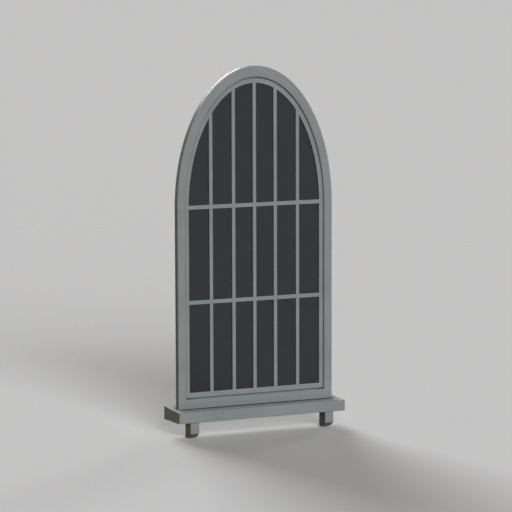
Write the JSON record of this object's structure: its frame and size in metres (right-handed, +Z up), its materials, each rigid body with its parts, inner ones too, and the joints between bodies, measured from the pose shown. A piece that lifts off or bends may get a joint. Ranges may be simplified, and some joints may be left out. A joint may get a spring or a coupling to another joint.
{
  "type": "arched window",
  "caption": "Tall arched window: a fixed sash with glazing bars and dark panes in a painted timber frame, standing on a deep sill with small brackets below.",
  "frame": {"origin": "middle of the level bed on the sill's underside, where the window sits on the wall", "axes": "+X along the sill to the right as seen from the front, +Y from the front to the back, +Z up"},
  "size_m": [1.076, 0.2496, 2.1907],
  "materials": {
    "frame_paint": "satin grey paint",
    "sash_paint": "satin grey paint",
    "sill_paint": "satin grey paint",
    "glass": "dark tinted float glass"
  },
  "bodies": {
    "root": {"frame_bottom_rail": "frame_paint", "frame_left_arch": "frame_paint", "frame_left_jamb": "frame_paint", "frame_right_arch": "frame_paint", "frame_right_jamb": "frame_paint", "left_bracket": "sill_paint", "lower_cross_bar": "sash_paint", "lower_pane_1": "glass", "lower_pane_2": "glass", "lower_pane_3": "glass", "lower_pane_4": "glass", "lower_pane_5": "glass", "lower_pane_6": "glass", "middle_pane_1": "glass", "middle_pane_2": "glass", "middle_pane_3": "glass", "middle_pane_4": "glass", "middle_pane_5": "glass", "middle_pane_6": "glass", "right_bracket": "sill_paint", "sash_bottom_rail": "sash_paint", "sash_left_arch": "sash_paint", "sash_left_stile": "sash_paint", "sash_right_arch": "sash_paint", "sash_right_stile": "sash_paint", "sill": "sill_paint", "upper_cross_bar": "sash_paint", "upper_pane_1": "glass", "upper_pane_2": "glass", "upper_pane_3": "glass", "upper_pane_4": "glass", "upper_pane_5": "glass", "upper_pane_6": "glass", "vertical_bar_1": "sash_paint", "vertical_bar_2": "sash_paint", "vertical_bar_3": "sash_paint", "vertical_bar_4": "sash_paint", "vertical_bar_5": "sash_paint"}
  },
  "joints": []
}
